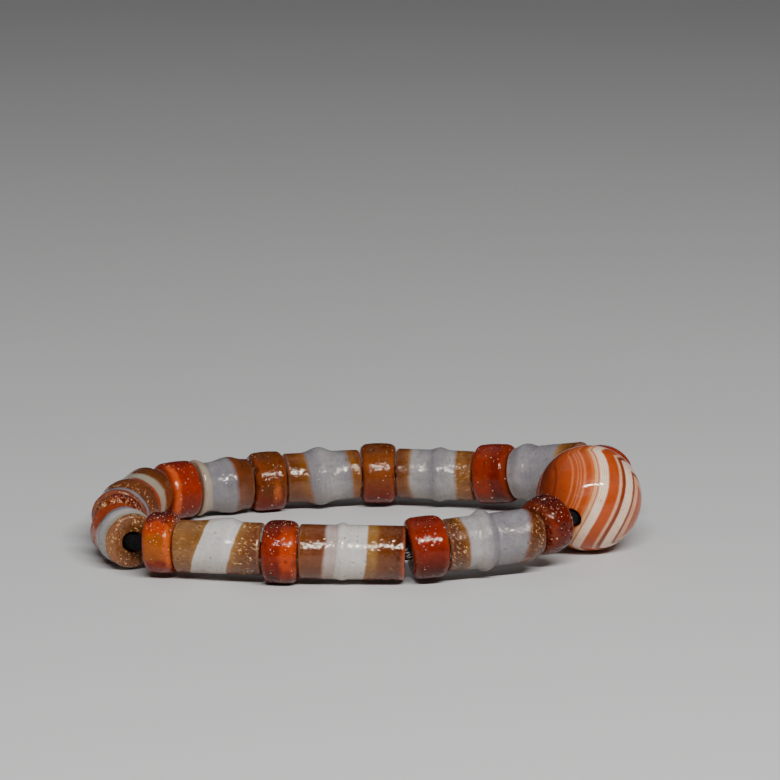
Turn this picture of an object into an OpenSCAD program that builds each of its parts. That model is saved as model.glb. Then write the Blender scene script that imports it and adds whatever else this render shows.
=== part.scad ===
// A bracelet of old agate beads on a knitted cord, lying in a loop on a table.
// Long beads with a raised joint, like bamboo, alternate with short rondelles, and one
// large round bead sits at the right.
// Millimetres, +Z up, the table at z = 0, the loop's middle over the origin.

/* [Drilling and cord] */
// Diameter of the hole drilled through every bead
bore_d = 2.8; // [2.5:0.1:3.2]
// Diameter of the knitted cord
cord_d = 2.2; // [1.6:0.1:2.3]
// Play between two neighbouring rims on the inside of a bend
play = 0.12; // [0.1:0.02:0.3]

/* [Beads] */
// Diameter of the large round bead
round_d = 14.8; // [13:0.1:15.5]
// Rounding of a rondelle's rims
rondelle_edge = 0.9; // [0.6:0.1:1.1]
// Rounding of a bamboo bead's rims
bamboo_edge = 0.4; // [0.2:0.1:0.6]

/* [Place of the first bead] */
// Middle of the first rondelle's left face, across
start_x = -29.6; // [-32:0.1:-26]
// Middle of the first rondelle's left face, in depth
start_y = -17.1; // [-19:0.1:-13]

/* [Hidden] */
// One row per bead in the order of the cord, anticlockwise seen from above.
// Radii are at the first face, at the ridge or belly, and at the last face. The ridge
// stands RIDGE_AT from the first face and rises over RISE_IN and falls over RISE_OUT.
// LIP widens the last face, or narrows it where it is negative. HEADING is the way the
// hole points in plan, with 0 to the right and 90 away. CLIMB is its slope and HEIGHT the
// bead's middle above the table. SLACK is bare cord beyond what the bend needs, and ASIDE
// how far the bead hangs to the left of the cord's line.
NAME = 0;
LENGTH = 1;
R_IN = 2;
R_MID = 3;
R_OUT = 4;
RIDGE_AT = 5;
RISE_IN = 6;
RISE_OUT = 7;
LIP = 8;
HEADING = 9;
CLIMB = 10;
HEIGHT = 11;
SLACK = 12;
ASIDE = 13;
BEADS = [
    ["rondelle_1",  3.9,  4.1, 4.2, 4.1, 2.0, 2.0, 2.0, 0,    346, 2,   4.7, 0.1, 0],
    ["bamboo_1",    11.7, 3.6, 4.1, 3.6, 7.2, 5.0, 1.6, 0,    348, 1,   4.5, 0.1, 0],
    ["rondelle_2",  4.2,  4.2, 4.3, 4.2, 2.1, 2.1, 2.1, 0,    354, 0,   4.3, 0,   0],
    ["bamboo_2",    14.1, 3.7, 4.0, 3.7, 5.7, 1.0, 1.0, 0,    0,   -1,  4.3, 0,   0],
    ["rondelle_3",  4.3,  4.2, 4.3, 4.2, 2.2, 2.2, 2.2, 0,    11,  3,   4.8, 0,   0.2],
    ["bamboo_3",    12.7, 3.6, 4.3, 3.7, 5.2, 1.5, 1.5, -0.9, 19,  2,   5.2, 0,   0],
    ["rondelle_4",  3.6,  3.9, 4.1, 3.9, 1.8, 1.8, 1.8, 0,    44,  9,   6.2, 1.9, 0.8],
    ["round_bead",  14.5, 1.4, 7.4, 1.4, 7.2, 7.2, 7.2, 0,    67,  10,  7.4, 0.6, 0],
    ["rondelle_5",  4.4,  4.1, 4.2, 4.1, 2.2, 2.2, 2.2, 0,    104, -6,  8.0, 0.2, 0],
    ["bamboo_4",    10.9, 3.8, 4.2, 3.7, 8.9, 2.0, 2.0, 0,    151, -11, 6.8, 0.1, 0],
    ["rondelle_6",  5.1,  4.2, 4.3, 4.2, 2.6, 2.6, 2.6, 0,    160, -7,  5.4, 0,   0],
    ["bamboo_5",    11.0, 3.6, 4.0, 3.6, 5.0, 1.6, 1.6, 0,    171, 0,   4.8, 0,   0],
    ["rondelle_7",  4.6,  4.3, 4.4, 4.3, 2.3, 2.3, 2.3, 0,    182, -1,  4.8, 0,   0],
    ["bamboo_6",    10.8, 3.6, 4.3, 3.6, 5.7, 2.2, 2.6, 0,    190, -1,  4.6, 0,   0],
    ["rondelle_8",  4.6,  4.2, 4.3, 4.2, 2.3, 2.3, 2.3, 0,    196, -1,  4.3, 0.1, 0],
    ["bamboo_7",    7.9,  3.7, 4.1, 3.5, 3.0, 2.4, 2.8, 0.6,  202, 1,   4.2, 0,   0],
    ["rondelle_9",  5.0,  4.1, 4.2, 4.1, 2.5, 2.5, 2.5, 0,    212, 1,   4.3, 0.1, 0],
    ["bamboo_8",    13.0, 3.8, 4.3, 4.0, 8.6, 3.0, 3.0, 0,    255, -2,  4.7, 0,   0],
    ["rondelle_10", 2.4,  3.5, 3.6, 3.5, 1.2, 1.2, 1.2, 0,    265, -1,  4.7, 0,   0.4],
    ["bamboo_9",    7.6,  3.8, 4.0, 3.7, 4.4, 1.6, 1.6, 0,    291, 0,   4.1, 0,   0],
];
COUNT = len(BEADS);
// Length over which a lip flares
lip_length = 1.8;
// Length of cord that runs straight inside each face before it bends
cord_lead = 0.3;
CORD_SIDES = 8;
// Part of a bead's way aside that the cord follows
cord_share = 0.75;

// What kind of bead a row is, told by the first letter of its name
function is_bamboo(b) = b[NAME][0] == "b";
function is_round(b) = b[NAME] == "round_bead";

// Rounding of a bead's rims. The thinnest rondelle has half the usual rounding.
function edge(b) =
    is_round(b) ? 0 : is_bamboo(b) ? bamboo_edge : min(rondelle_edge, b[LENGTH] / 4 + 0.2);

// A bead's colours: orange to dark red carnelian, tan bamboo beads, orange round bead
function bead_colour(b) =
    is_round(b) ? [0.78, 0.42, 0.18] : is_bamboo(b) ? [0.80, 0.74, 0.70] : [0.62, 0.16, 0.05];

function row(i) = BEADS[i % COUNT];

// The way a bead's hole points
function axis(b) =
    [cos(b[CLIMB]) * cos(b[HEADING]), cos(b[CLIMB]) * sin(b[HEADING]), sin(b[CLIMB])];

// Turn in plan from bead i to the next, between -180 and 180 degrees
function turn(i) =
    let (change = row(i + 1)[HEADING] - row(i)[HEADING])
    change - 360 * round(change / 360);

// Bend between the holes of bead i and the next
function bend(i) = acos(min(1, axis(row(i)) * axis(row(i + 1))));

// Bare cord after bead i: two rims that face each other nearly touch inside the bend
function gap(i) =
    let (b = row(i), c = row(i + 1))
    play + b[SLACK]
        + (b[R_OUT] + b[LIP] - edge(b) + c[R_IN] - edge(c)) * sin(bend(i) / 2);

// Where the cord's line meets bead i's first face in plan, walked from bead to bead
function entry(i) =
    i == 0
        ? [start_x, start_y]
        : let (
            b = row(i - 1),
            mid_way = b[HEADING] + turn(i - 1) / 2,
            run = b[LENGTH] * cos(b[CLIMB]),
            start = entry(i - 1)
        )
        start + run * [cos(b[HEADING]), sin(b[HEADING])]
            + gap(i - 1) * [cos(mid_way), sin(mid_way)];

// A bead's middle. It may hang a little to the left of the cord's line.
function middle(i, side = 1) =
    let (b = row(i), half = b[LENGTH] / 2 * cos(b[CLIMB]), start = entry(i % COUNT))
    [
        start[0] + half * cos(b[HEADING]) - side * b[ASIDE] * sin(b[HEADING]),
        start[1] + half * sin(b[HEADING]) + side * b[ASIDE] * cos(b[HEADING]),
        b[HEIGHT]
    ];

// Straight line between the two end radii
function body_radius(b, x) = b[R_IN] + (b[R_OUT] - b[R_IN]) * x / b[LENGTH];

// Rise and fall of the ridge, from 0 at its feet to 1 at its top, as half cosine waves
function swell(b, x) =
    let (away = x < b[RIDGE_AT] ? (b[RIDGE_AT] - x) / b[RISE_IN] : (x - b[RIDGE_AT]) / b[RISE_OUT])
    away < 1 ? (1 + cos(180 * away)) / 2 : 0;

// Flare of the lip towards the last face
function flare(b, x) =
    let (away = (b[LENGTH] - x) / lip_length)
    away < 1 ? b[LIP] * (1 + cos(180 * away)) / 2 : 0;

// What a rim's quarter round takes off at a distance from its face
function trimmed(b, away) =
    let (e = edge(b))
    away < e ? e - sqrt(e * e - (e - away) * (e - away)) : 0;

// Outer radius of a bead at the distance x from its first face
function radius(b, x) =
    body_radius(b, x) + (b[R_MID] - body_radius(b, b[RIDGE_AT])) * swell(b, x) + flare(b, x)
        - trimmed(b, x) - trimmed(b, b[LENGTH] - x);

// Stations along a bead: three on each rim, five on each side of the ridge, two on a lip
function stations(b) =
    let (
        e = edge(b),
        rim = [0, 0.134 * e, 0.5 * e, e],
        foot_in = max(e + 0.05, b[RIDGE_AT] - b[RISE_IN]),
        foot_out = min(b[LENGTH] - e - 0.05, b[RIDGE_AT] + b[RISE_OUT]),
        rise = [for (k = [0 : 4]) foot_in + (b[RIDGE_AT] - foot_in) * k / 5],
        fall = [for (k = [0 : 5]) b[RIDGE_AT] + (foot_out - b[RIDGE_AT]) * k / 5],
        lip = b[LIP] != 0 ? [b[LENGTH] - lip_length * 0.6, b[LENGTH] - lip_length * 0.4] : [],
        last = [for (k = [3 : -1 : 0]) b[LENGTH] - rim[k]]
    )
    concat(rim, rise, fall, lip, last);

// Half outline of a ridged or plain bead, turned about its hole
module turned_body(b) {
    outline = [for (x = stations(b)) [radius(b, x), x - b[LENGTH] / 2]];
    rotate_extrude($fn = 72)
        polygon(concat([[0, -b[LENGTH] / 2]], outline, [[0, b[LENGTH] / 2]]));
}

// One drilled bead along Z, its middle at the origin
module drilled_bead(b) {
    difference() {
        if (is_round(b)) {
            sphere(d = round_d, $fn = 96);
        } else {
            turned_body(b);
        }
        cylinder(h = b[LENGTH] + 4, d = bore_d, center = true, $fn = 48);
    }
}

// Bead i in its place on the cord
module bead(i) {
    b = row(i);
    color(bead_colour(b))
        translate(middle(i))
            rotate([0, 90 - b[CLIMB], b[HEADING]])
                drilled_bead(b);
}

// The cord runs straight through each hole, not quite as far aside as the bead hangs
function hole_point(i, away) = middle(i, cord_share) + axis(row(i)) * away;

// Point of the smooth curve that leaves one hole and enters the next, at part t of it
function bridge(p, q, leave, enter, t) =
    let (
        reach = norm(q - p),
        h1 = 2 * t * t * t - 3 * t * t + 1,
        h2 = t * t * t - 2 * t * t + t,
        h3 = 3 * t * t - 2 * t * t * t,
        h4 = t * t * t - t * t
    )
    h1 * p + h2 * reach * leave + h3 * q + h4 * reach * enter;

// Four points of the route for each bead: into its hole, out of it, and two on the bend
function route_of(i) =
    let (
        b = row(i),
        c = row(i + 1),
        inside = hole_point(i, cord_lead - b[LENGTH] / 2),
        leaving = hole_point(i, b[LENGTH] / 2 - cord_lead),
        entering = hole_point(i + 1, cord_lead - c[LENGTH] / 2)
    )
    [
        inside,
        leaving,
        bridge(leaving, entering, axis(b), axis(c), 1 / 3),
        bridge(leaving, entering, axis(b), axis(c), 2 / 3)
    ];

ROUTE = [for (i = [0 : COUNT - 1]) each route_of(i)];

function unit(v) = v / norm(v);

// Way of the cord at route point k
function way(k) =
    let (n = len(ROUTE))
    unit(unit(ROUTE[(k + 1) % n] - ROUTE[k]) + unit(ROUTE[k] - ROUTE[(k + n - 1) % n]));

// Ring of corners square to the cord at route point k
function ring(k) =
    let (
        forward = way(k),
        side = unit(cross([0, 0, 1], forward)),
        up = cross(forward, side)
    )
    [
        for (s = [0 : CORD_SIDES - 1])
            let (a = 360 * (s + 0.5) / CORD_SIDES)
            ROUTE[k] + cord_d / 2 * (cos(a) * side + sin(a) * up)
    ];

// The cord, one closed tube
module cord() {
    rings = len(ROUTE);
    corners = [for (k = [0 : rings - 1]) each ring(k)];
    sides = [
        for (k = [0 : rings - 1], s = [0 : CORD_SIDES - 1])
            let (next = (k + 1) % rings, t = (s + 1) % CORD_SIDES)
            [
                k * CORD_SIDES + s,
                k * CORD_SIDES + t,
                next * CORD_SIDES + t,
                next * CORD_SIDES + s
            ]
    ];
    color([0.06, 0.06, 0.07])
        polyhedron(points = corners, faces = sides);
}

for (i = [0 : COUNT - 1]) {
    bead(i);
}
cord();
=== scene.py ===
"""Dresses a bracelet of old agate beads that lies in a loop on a pale floor.

Lengths are millimetres until a piece's points go into its mesh, which is in metres.
A bead's own coordinates are the distance along its hole from the first face, then up,
then out of the loop. Every bead's mesh carries them as the attribute "stone".
"""
import logging
import math
from abc import ABC, abstractmethod
from dataclasses import dataclass
from enum import Enum
from itertools import product
from typing import ClassVar, Union

import bpy
import numpy as np
from mathutils import Matrix


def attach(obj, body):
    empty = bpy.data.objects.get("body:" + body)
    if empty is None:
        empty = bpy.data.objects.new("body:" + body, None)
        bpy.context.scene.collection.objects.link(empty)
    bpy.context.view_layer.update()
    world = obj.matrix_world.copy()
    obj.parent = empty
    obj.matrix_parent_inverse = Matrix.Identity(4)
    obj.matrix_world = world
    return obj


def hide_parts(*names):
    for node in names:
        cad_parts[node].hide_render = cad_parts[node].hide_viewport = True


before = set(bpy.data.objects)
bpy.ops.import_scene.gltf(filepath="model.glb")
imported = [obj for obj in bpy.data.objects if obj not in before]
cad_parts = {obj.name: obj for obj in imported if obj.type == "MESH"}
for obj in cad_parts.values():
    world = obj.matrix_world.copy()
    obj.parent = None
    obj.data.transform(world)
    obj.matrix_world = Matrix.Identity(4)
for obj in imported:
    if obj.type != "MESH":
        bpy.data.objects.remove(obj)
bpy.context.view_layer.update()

log = logging.getLogger("bracelet")
MM = 0.001
BODY = "root"
TINY = 1e-9

Colour = tuple[float, float, float]
Way = tuple[float, float, float]
Bands = tuple[tuple[float, Colour], ...]

BAMBOO_EDGE = 0.4
RONDELLE_EDGE = 0.9
LIP_LENGTH = 1.8
BORE_RADIUS = 1.4
ROUND_RADIUS = 7.4
PLAY = 0.12
CORD_RADIUS = 1.1
CORD_LEAD = 0.3
CORD_SHARE = 0.75
SKEW_LIMIT = math.radians(6)
OPEN_BEND = math.radians(15)
OPEN_AFTER = ("bamboo_2",)


class Slot(Enum):
    """The record's material slots."""

    CARNELIAN = "carnelian"
    BANDED = "banded_agate"
    EYE = "eye_agate"
    CORD = "cord"


def plan_way(heading: float) -> np.ndarray:
    """Unit vector in plan at a heading in degrees."""
    return np.array([math.cos(math.radians(heading)), math.sin(math.radians(heading))])


def turn_between(before: float, after: float) -> float:
    """Turn from one heading to the next, between -180 and 180 degrees."""
    return (after - before + 180.0) % 360.0 - 180.0


def upright(along: np.ndarray) -> np.ndarray:
    """Unit vector square to a hole that points up as far as it can."""
    up = np.array([0.0, 0.0, 1.0]) - along[2] * along
    return up / np.linalg.norm(up)


@dataclass(frozen=True)
class BeadShape:
    """Size and place of one bead, as the part's source gives them: millimetres and degrees."""

    name: str
    length: float
    first_radius: float
    ridge_radius: float
    last_radius: float
    ridge_at: float
    rise: float
    fall: float
    lip: float
    heading: float
    climb: float
    height: float
    slack: float
    aside: float

    @property
    def is_round(self) -> bool:
        """Whether this is the large round bead."""
        return self.name == "round_bead"

    @property
    def edge(self) -> float:
        """Rounding of the rims."""
        if self.is_round:
            return 0.0
        if self.name.startswith("bamboo"):
            return BAMBOO_EDGE
        return min(RONDELLE_EDGE, self.length / 4 + 0.2)

    @property
    def run(self) -> float:
        """The bead's length in plan."""
        return self.length * math.cos(math.radians(self.climb))

    @property
    def axis(self) -> np.ndarray:
        """The way the hole points."""
        climb = math.radians(self.climb)
        return np.append(math.cos(climb) * plan_way(self.heading), math.sin(climb))


ROW_START = (-29.6, -17.1)
ROW = (
    BeadShape("rondelle_1", 3.9, 4.1, 4.2, 4.1, 2.0, 2.0, 2.0, 0, 346, 2, 4.7, 0.1, 0),
    BeadShape("bamboo_1", 11.7, 3.6, 4.1, 3.6, 7.2, 5.0, 1.6, 0, 348, 1, 4.5, 0.1, 0),
    BeadShape("rondelle_2", 4.2, 4.2, 4.3, 4.2, 2.1, 2.1, 2.1, 0, 354, 0, 4.3, 0, 0),
    BeadShape("bamboo_2", 14.1, 3.7, 4.0, 3.7, 5.7, 1.0, 1.0, 0, 0, -1, 4.3, 0, 0),
    BeadShape("rondelle_3", 4.3, 4.2, 4.3, 4.2, 2.2, 2.2, 2.2, 0, 11, 3, 4.8, 0, 0.2),
    BeadShape("bamboo_3", 12.7, 3.6, 4.3, 3.7, 5.2, 1.5, 1.5, -0.9, 19, 2, 5.2, 0, 0),
    BeadShape("rondelle_4", 3.6, 3.9, 4.1, 3.9, 1.8, 1.8, 1.8, 0, 44, 9, 6.2, 1.9, 0.8),
    BeadShape("round_bead", 14.5, 1.4, 7.4, 1.4, 7.2, 7.2, 7.2, 0, 67, 10, 7.4, 0.6, 0),
    BeadShape("rondelle_5", 4.4, 4.1, 4.2, 4.1, 2.2, 2.2, 2.2, 0, 104, -6, 8.0, 0.2, 0),
    BeadShape("bamboo_4", 10.9, 3.8, 4.2, 3.7, 8.9, 2.0, 2.0, 0, 151, -11, 6.8, 0.1, 0),
    BeadShape("rondelle_6", 5.1, 4.2, 4.3, 4.2, 2.6, 2.6, 2.6, 0, 160, -7, 5.4, 0, 0),
    BeadShape("bamboo_5", 11.0, 3.6, 4.0, 3.6, 5.0, 1.6, 1.6, 0, 171, 0, 4.8, 0, 0),
    BeadShape("rondelle_7", 4.6, 4.3, 4.4, 4.3, 2.3, 2.3, 2.3, 0, 182, -1, 4.8, 0, 0),
    BeadShape("bamboo_6", 10.8, 3.6, 4.3, 3.6, 5.7, 2.2, 2.6, 0, 190, -1, 4.6, 0, 0),
    BeadShape("rondelle_8", 4.6, 4.2, 4.3, 4.2, 2.3, 2.3, 2.3, 0, 196, -1, 4.3, 0.1, 0),
    BeadShape("bamboo_7", 7.9, 3.7, 4.1, 3.5, 3.0, 2.4, 2.8, 0.6, 202, 1, 4.2, 0, 0),
    BeadShape("rondelle_9", 5.0, 4.1, 4.2, 4.1, 2.5, 2.5, 2.5, 0, 212, 1, 4.3, 0.1, 0),
    BeadShape("bamboo_8", 13.0, 3.8, 4.3, 4.0, 8.6, 3.0, 3.0, 0, 255, -2, 4.7, 0, 0),
    BeadShape("rondelle_10", 2.4, 3.5, 3.6, 3.5, 1.2, 1.2, 1.2, 0, 265, -1, 4.7, 0, 0.4),
    BeadShape("bamboo_9", 7.6, 3.8, 4.0, 3.7, 4.4, 1.6, 1.6, 0, 291, 0, 4.1, 0, 0),
)


@dataclass(frozen=True)
class Seat:
    """Where one bead sits: its middle, its hole's way, up, and out of the loop."""

    middle: np.ndarray
    along: np.ndarray
    up: np.ndarray
    out: np.ndarray

    @property
    def basis(self) -> np.ndarray:
        """The bead's three ways, as rows."""
        return np.stack([self.along, self.up, self.out])

    def place(self, local: np.ndarray, length: float) -> np.ndarray:
        """Moves points from the bead's own coordinates to the frame.

        Args:
            local: Points as along, up and out, the first from the bead's first face.
            length: The bead's length.

        Returns:
            The same points in the frame, in millimetres.
        """
        return self.middle + (local - np.array([length / 2, 0.0, 0.0])) @ self.basis


@dataclass(frozen=True)
class FaceSkew:
    """How a bead's face is ground to meet its neighbour: moved out, and tilted.

    more is how far the face stands out along the hole. up and out are its slopes, for
    each millimetre up and out.
    """

    more: float = 0.0
    up: float = 0.0
    out: float = 0.0


FACE_EXTRA = {
    ("bamboo_3", "last"): FaceSkew(more=0.9),
    ("rondelle_4", "first"): FaceSkew(more=-0.6),
    ("rondelle_3", "first"): FaceSkew(more=-0.25, up=-0.08),
}


class Row:
    """The beads in their order, walked from the first one's left face round the loop."""

    def __init__(self, shapes: tuple[BeadShape, ...]) -> None:
        """Works out where the cord's line meets each bead's first face, in plan.

        Args:
            shapes: The beads in the order of the cord.
        """
        self.shapes = shapes
        self.entries = [np.array(ROW_START)]
        for i, one in enumerate(shapes[:-1]):
            half_way = one.heading + turn_between(one.heading, shapes[i + 1].heading) / 2
            step = one.run * plan_way(one.heading) + self._gap(i) * plan_way(half_way)
            self.entries.append(self.entries[-1] + step)

    def _pair(self, i: int) -> tuple[BeadShape, BeadShape, float]:
        """Bead i, the next one, and the bend between their holes in radians."""
        one, two = self.shapes[i], self.shapes[(i + 1) % len(self.shapes)]
        return one, two, math.acos(min(1.0, float(one.axis @ two.axis)))

    def _gap(self, i: int) -> float:
        """Bare cord after bead i, enough for two rims nearly to touch inside the bend."""
        one, two, bend = self._pair(i)
        rims = one.last_radius + one.lip - one.edge + two.first_radius - two.edge
        return PLAY + one.slack + rims * math.sin(bend / 2)

    def skews(self, i: int) -> tuple[FaceSkew, ...]:
        """How the two faces that meet after bead i are skewed, so that they lie close.

        Each face leans by half the bend, up to SKEW_LIMIT, and stands out by half of what
        then lies open beyond the play and the slack.

        Args:
            i: Place of the bead in the row.

        Returns:
            The skew of its last face, and of the next bead's first face.
        """
        one, two, bend = self._pair(i)
        if bend > OPEN_BEND or one.name in OPEN_AFTER or one.is_round or two.is_round:
            faces = ((one.name, "last"), (two.name, "first"))
            return tuple(FACE_EXTRA.get(face, FaceSkew()) for face in faces)
        lean = min(bend / 2, SKEW_LIMIT)
        rims = one.last_radius + two.first_radius - one.edge - two.edge
        inner = rims * math.sin(bend / 2 - lean)
        more = max(0.0, (self._gap(i) - PLAY - one.slack - inner) / 2)
        skews = []
        for along, sign in ((one.axis, -1.0), (two.axis, 1.0)):
            towards = two.axis - one.axis
            towards = towards - (towards @ along) * along
            towards *= sign * math.tan(lean) / max(float(np.linalg.norm(towards)), TINY)
            up = upright(along)
            skews.append(FaceSkew(-sign * more, towards @ up, towards @ np.cross(along, up)))
        return tuple(skews)

    def seat(self, i: int, share: float = 1.0) -> Seat:
        """Seat of a bead.

        Args:
            i: Place of the bead in the row.
            share: How much of its way aside the bead hangs.

        Returns:
            The seat.
        """
        one = self.shapes[i % len(self.shapes)]
        ahead = plan_way(one.heading)
        left = np.array([-ahead[1], ahead[0]])
        flat = self.entries[i % len(self.shapes)] + one.run / 2 * ahead + share * one.aside * left
        up = upright(one.axis)
        return Seat(np.append(flat, one.height), one.axis, up, np.cross(one.axis, up))

    def cord_route(self, bends: int, straights: int) -> np.ndarray:
        """Middle line of the cord: straight in each hole, one smooth curve in each gap.

        The curve is the cubic that leaves along one hole and enters along the next, with
        the distance between its ends as the length of both tangents.

        Args:
            bends: Points on each curve.
            straights: Points in each hole for every millimetre of it.

        Returns:
            Points of the closed line, in millimetres.
        """
        parts = []
        for i in range(len(self.shapes)):
            one, two, _ = self._pair(i)
            here, there = self.seat(i, CORD_SHARE), self.seat(i + 1, CORD_SHARE)
            inside = here.middle + here.along * (CORD_LEAD - one.length / 2)
            leaving = here.middle + here.along * (one.length / 2 - CORD_LEAD)
            entering = there.middle + there.along * (CORD_LEAD - two.length / 2)
            steps = max(2, int(straights * one.length))
            t = np.linspace(0, 1, steps, endpoint=False)[:, None]
            parts.append(inside + (leaving - inside) * t)
            t = np.linspace(0, 1, bends, endpoint=False)[:, None]
            reach = np.linalg.norm(entering - leaving)
            parts.append(
                (2 * t**3 - 3 * t**2 + 1) * leaving
                + (t**3 - 2 * t**2 + t) * reach * here.along
                + (3 * t**2 - 2 * t**3) * entering
                + (t**3 - t**2) * reach * there.along
            )
        return np.concatenate(parts)


def lattice_noise(points: np.ndarray, size: float, seed: int) -> np.ndarray:
    """Smooth random values between -1 and 1.

    Random numbers stand on the corners of a cubic lattice, and each point takes the
    smoothly weighted mean of its cell's eight corners.

    Args:
        points: Points in millimetres, the last axis holding x, y and z.
        size: Width of a cell.
        seed: Number that fixes the pattern.

    Returns:
        One value for each point.
    """
    cells = 32
    table = np.random.default_rng(seed).uniform(-1, 1, (cells, cells, cells))
    scaled = points / size
    base = np.floor(scaled).astype(int)
    part = scaled - base
    part = part * part * (3 - 2 * part)
    total = np.zeros(points.shape[:-1])
    for corner in product((0, 1), repeat=3):
        weight = np.prod(np.where(corner, part, 1 - part), axis=-1)
        index = (base + corner) % cells
        total += weight * table[index[..., 0], index[..., 1], index[..., 2]]
    return total


def unevenness(local: np.ndarray, waves: tuple[tuple[float, float], ...], seed: int) -> np.ndarray:
    """Sum of smooth noises, each with its own size and height."""
    noises = [high * lattice_noise(local, size, seed + i) for i, (size, high) in enumerate(waves)]
    return np.sum(noises, axis=0)


def spun(x: np.ndarray, radius: np.ndarray, angle: np.ndarray) -> np.ndarray:
    """An outline turned about the hole: the radius times the angle's cosine and sine."""
    up, out = radius * np.cos(angle), radius * np.sin(angle)
    return np.stack([np.broadcast_to(x, up.shape), up, out], -1)


def grid_normals(points: np.ndarray) -> np.ndarray:
    """Unit normals of a grid that closes both ways: the cross product of its two runs.

    Args:
        points: Grid of points.

    Returns:
        The normals, which point away from the solid.
    """
    down = np.roll(points, -1, 0) - np.roll(points, 1, 0)
    over = np.roll(points, -1, 1) - np.roll(points, 1, 1)
    normal = np.cross(over, down)
    return normal / np.maximum(np.linalg.norm(normal, axis=-1, keepdims=True), TINY)


def add_object(name: str, data: bpy.types.ID) -> bpy.types.Object:
    """Makes an object at the origin and puts it into the scene."""
    thing = bpy.data.objects.new(name, data)
    bpy.context.scene.collection.objects.link(thing)
    return thing


def closed_surface(name: str, points: np.ndarray, fields: dict[str, np.ndarray]) -> bpy.types.Object:
    """Makes an object from a grid of points that closes on itself both ways.

    Corner (i, j) is joined to (i, j+1), (i+1, j+1) and (i+1, j), counted round both ways.

    Args:
        name: The piece's name.
        points: Grid of points in the frame, in millimetres.
        fields: Numbers or vectors for every point, by attribute name.

    Returns:
        The object, at the origin and shaded smooth.
    """
    index = np.arange(points[..., 0].size).reshape(points.shape[:2])
    across = np.roll(index, -1, 1)
    quads = np.stack([index, across, np.roll(across, -1, 0), np.roll(index, -1, 0)], -1)
    quads = quads.reshape(-1, 4)
    mesh = bpy.data.meshes.new(name)
    mesh.vertices.add(index.size)
    mesh.vertices.foreach_set("co", (points * MM).astype(np.float32).ravel())
    mesh.loops.add(quads.size)
    mesh.loops.foreach_set("vertex_index", quads.astype(np.int32).ravel())
    mesh.polygons.add(len(quads))
    mesh.polygons.foreach_set("loop_start", np.arange(0, quads.size, 4, dtype=np.int32))
    mesh.polygons.foreach_set("use_smooth", np.ones(len(quads), dtype=bool))
    mesh.update(calc_edges=True)
    mesh.validate()
    for key, values in fields.items():
        kind, part = ("FLOAT_VECTOR", "vector") if values.ndim == 3 else ("FLOAT", "value")
        attribute = mesh.attributes.new(key, kind, "POINT")
        attribute.data.foreach_set(part, values.astype(np.float32).ravel())
    return add_object(name, mesh)


@dataclass(frozen=True)
class Carving:
    """How far one bead is from a true turned shape.

    oval is its share out of round, waves the height of its unevenness. The ridge stands
    most on top, and ridge_bias is the share by which it is lower underneath. pits and
    chips are how many of each the bead has. grooves are the rings cut round it, as place,
    depth and width.
    """

    seed: int
    oval: float = 0.012
    waves: float = 0.035
    ridge_bias: float = 0.15
    pits: int = 40
    pit_size: float = 0.22
    chips: int = 5
    grooves: tuple[tuple[float, float, float], ...] = ()


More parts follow.
